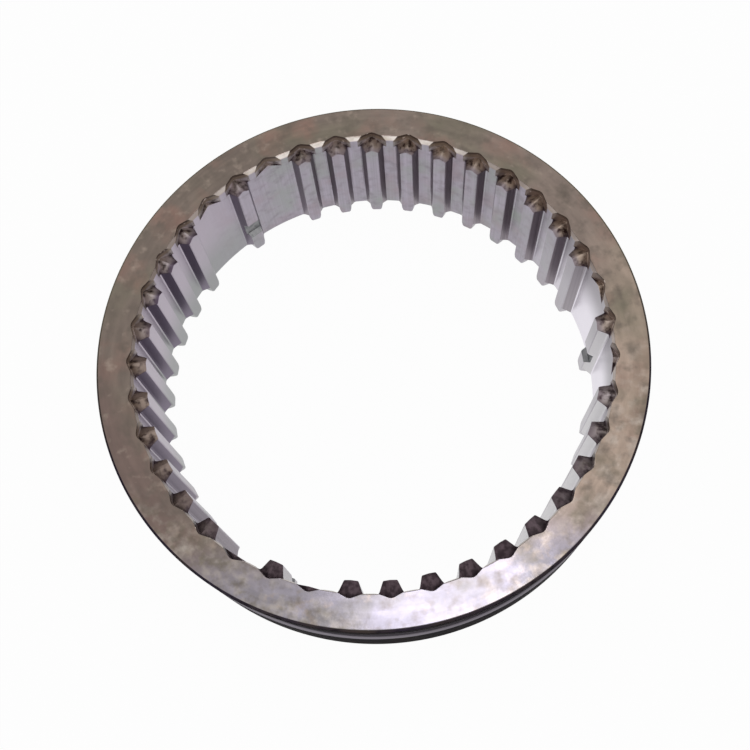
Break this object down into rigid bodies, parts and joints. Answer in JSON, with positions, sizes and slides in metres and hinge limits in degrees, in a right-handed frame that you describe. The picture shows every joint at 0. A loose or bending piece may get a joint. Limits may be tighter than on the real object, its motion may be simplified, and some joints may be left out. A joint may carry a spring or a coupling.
{
  "type": "synchronizer sleeve",
  "caption": "Round steel shift sleeve with an internal spline, pointed tooth ends at its upper face, lone key teeth between empty places, and a fork groove round its outside.",
  "frame": {"origin": "centre of the lower face", "axes": "+Z is the sleeve's axis and points to the upper face, which the picture shows; +X goes through the middle of one of the three key teeth"},
  "size_m": [0.115, 0.115, 0.03],
  "materials": {
    "sleeve_steel": "case-hardened steel, turned and broached, with a brown-grey heat-treatment film on the faces"
  },
  "bodies": {
    "root": {"sleeve": "sleeve_steel"}
  },
  "joints": []
}
